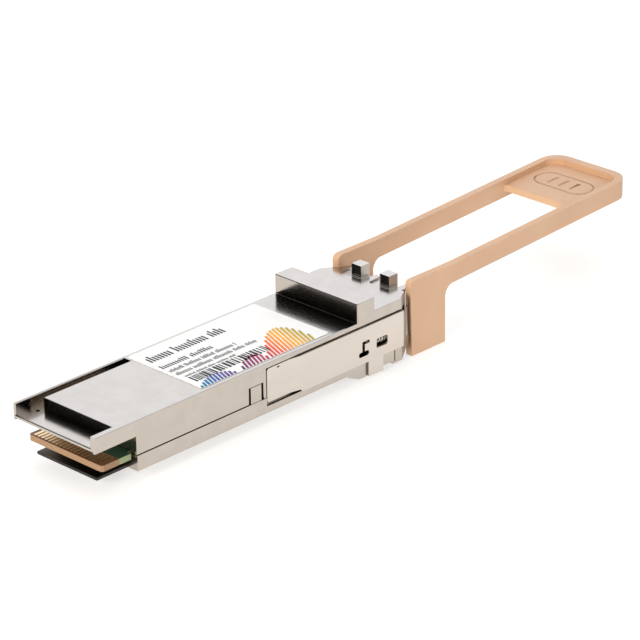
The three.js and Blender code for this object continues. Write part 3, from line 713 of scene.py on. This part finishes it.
add_print("stripes_front", stripe_fan(22.9, 30.6, 2.4, 11, 0.35, 0.72), COOL_INKS)
add_print("stripes_rear_low", stripe_fan(31.8, 37.8, 3.2, 8, 0.45, 0.68), WARM_INKS)
add_print("stripes_rear_high", stripe_fan(38.0, 47.8, 7.6, 13, 0.38, 0.7), WARM_INKS)

# ---- camera -------------------------------------------------------------------------------------------

CAMERA_FROM_LIP_MM = (-289.826, -338.084, 222.430)
CAMERA_AZIMUTH = 44.24
CAMERA_DOWN = 24.06
CAMERA_ROLL = -0.67
CAMERA_LENS_MM = 185.4


def add_camera():
    """A long lens in front of the near side, looking down at the module."""
    azimuth, down, roll = (math.radians(a) for a in (CAMERA_AZIMUTH, CAMERA_DOWN, CAMERA_ROLL))
    level = math.cos(down)
    forward = Vector((level * math.cos(azimuth), level * math.sin(azimuth), -math.sin(down)))
    right = forward.cross(Vector((0, 0, 1))).normalized()
    up = right.cross(forward)
    tilted_right = right * math.cos(roll) + up * math.sin(roll)
    tilted_up = up * math.cos(roll) - right * math.sin(roll)
    axes = Matrix((tilted_right, tilted_up, -forward)).transposed()
    data = bpy.data.cameras.new("camera")
    data.lens = CAMERA_LENS_MM
    data.sensor_width = 36
    data.clip_start = 0.01
    data.clip_end = 10
    camera = bpy.data.objects.new("camera", data)
    camera.matrix_world = Matrix.Translation(at(*CAMERA_FROM_LIP_MM)) @ axes.to_4x4()
    bpy.context.scene.collection.objects.link(camera)
    bpy.context.scene.camera = camera


add_camera()

# ---- stage and lights ---------------------------------------------------------------------------------

FLOOR_ALBEDO = 0.50
FLOOR_UNEVENNESS = 0.01
FLOOR_GLOW = 0.60  # a back-lit table, so that shadows stay faint
FLOOR_SIZE = 4
FLOOR_GAP_MM = 0.05


def add_floor():
    """A pale sheet just under the module."""
    material, nodes, links, shader = new_material("floor_paper")
    vector = object_coordinates(nodes, links)
    grain = noise(nodes, links, vector, 0.5)
    darker = (FLOOR_ALBEDO - FLOOR_UNEVENNESS,) * 3
    lighter = (FLOOR_ALBEDO + FLOOR_UNEVENNESS,) * 3
    pale = ramp(nodes, links, grain, [(0.3, darker), (0.7, lighter)])
    links.new(pale, shader.inputs["Base Color"])
    shader.inputs["Roughness"].default_value = 0.9
    shader.inputs["Specular IOR Level"].default_value = 0.0
    shader.inputs["Emission Color"].default_value = (1, 1, 1, 1)
    shader.inputs["Emission Strength"].default_value = FLOOR_GLOW
    height = CAD_BOUNDS[0][2] - FLOOR_GAP_MM * MM
    bpy.ops.mesh.primitive_plane_add(size=FLOOR_SIZE, location=(0, 0, height))
    floor = bpy.context.object
    floor.name = "floor"
    floor.data.materials.append(material)


WARM = (1.0, 0.93, 0.80)


def add_area(name, location, size, power):
    """A large lamp aimed at the module, which lights matt surfaces but isn't mirrored in the metal."""
    data = bpy.data.lights.new(name, "AREA")
    data.shape = "RECTANGLE"
    data.size, data.size_y = size
    data.energy = power
    data.color = WARM
    light = bpy.data.objects.new(name, data)
    light.location = location
    light.rotation_euler = (-Vector(location)).to_track_quat("-Z", "Y").to_euler()
    light.visible_glossy = False
    bpy.context.scene.collection.objects.link(light)


BACK_LIGHT_DIRECTION = (0.654, 0.637, 0.408)  # what the camera sees mirrored in level surfaces
BACK_LIGHT = 1.40
BACK_LIGHT_COLOUR = (0.95, 1.0, 1.09, 1)
OVERHEAD_LIGHT = 0.6
CARD_DIRECTION = (0.683, -0.683, 0.259)  # what they mirror when seen from the far front corner
CARD_LIGHT = 1.0


def add_world():
    """A dark studio with a large pale wall behind the object, a pale card and a little top light."""
    world = bpy.data.worlds.new("studio")
    world.use_nodes = True
    nodes = world.node_tree.nodes
    links = world.node_tree.links
    direction = nodes.new("ShaderNodeTexCoord").outputs["Generated"]
    parts = nodes.new("ShaderNodeSeparateXYZ")
    links.new(direction, parts.inputs["Vector"])

    def towards(centre):
        """The cosine of the angle between where a ray goes and a direction."""
        node = nodes.new("ShaderNodeVectorMath")
        node.operation = "DOT_PRODUCT"
        node.inputs[1].default_value = centre
        links.new(direction, node.inputs[0])
        return node.outputs["Value"]

    def smooth_step(value, low, high, top):
        """0 up to low, and top from high on."""
        node = nodes.new("ShaderNodeMapRange")
        node.interpolation_type = "SMOOTHSTEP"
        node.inputs["From Min"].default_value = low
        node.inputs["From Max"].default_value = high
        node.inputs["To Max"].default_value = top
        links.new(value, node.inputs["Value"])
        return node.outputs["Result"]

    def brightest(first, second):
        node = nodes.new("ShaderNodeMath")
        node.operation = "MAXIMUM"
        links.new(first, node.inputs[0])
        links.new(second, node.inputs[1])
        return node.outputs["Value"]

    overhead = smooth_step(parts.outputs["Z"], 0.82, 0.95, OVERHEAD_LIGHT)
    back = smooth_step(towards(BACK_LIGHT_DIRECTION), 0.6, 0.8, BACK_LIGHT)
    card = smooth_step(towards(CARD_DIRECTION), 0.88, 0.96, CARD_LIGHT)
    strength = brightest(brightest(overhead, card), back)
    background = nodes["Background"]
    background.inputs["Color"].default_value = BACK_LIGHT_COLOUR
    links.new(strength, background.inputs["Strength"])
    bpy.context.scene.world = world


add_floor()
add_world()
add_area("top_lamp", location=(0.05, 0.02, 0.8), size=(0.6, 0.6), power=1.9)
add_area("near_lamp", location=(0.1, -0.75, 0.3), size=(0.6, 0.4), power=1.9)
add_area("front_lamp", location=(-0.75, -0.1, 0.3), size=(0.5, 0.4), power=7.0)
bpy.context.scene.view_settings.view_transform = "Standard"
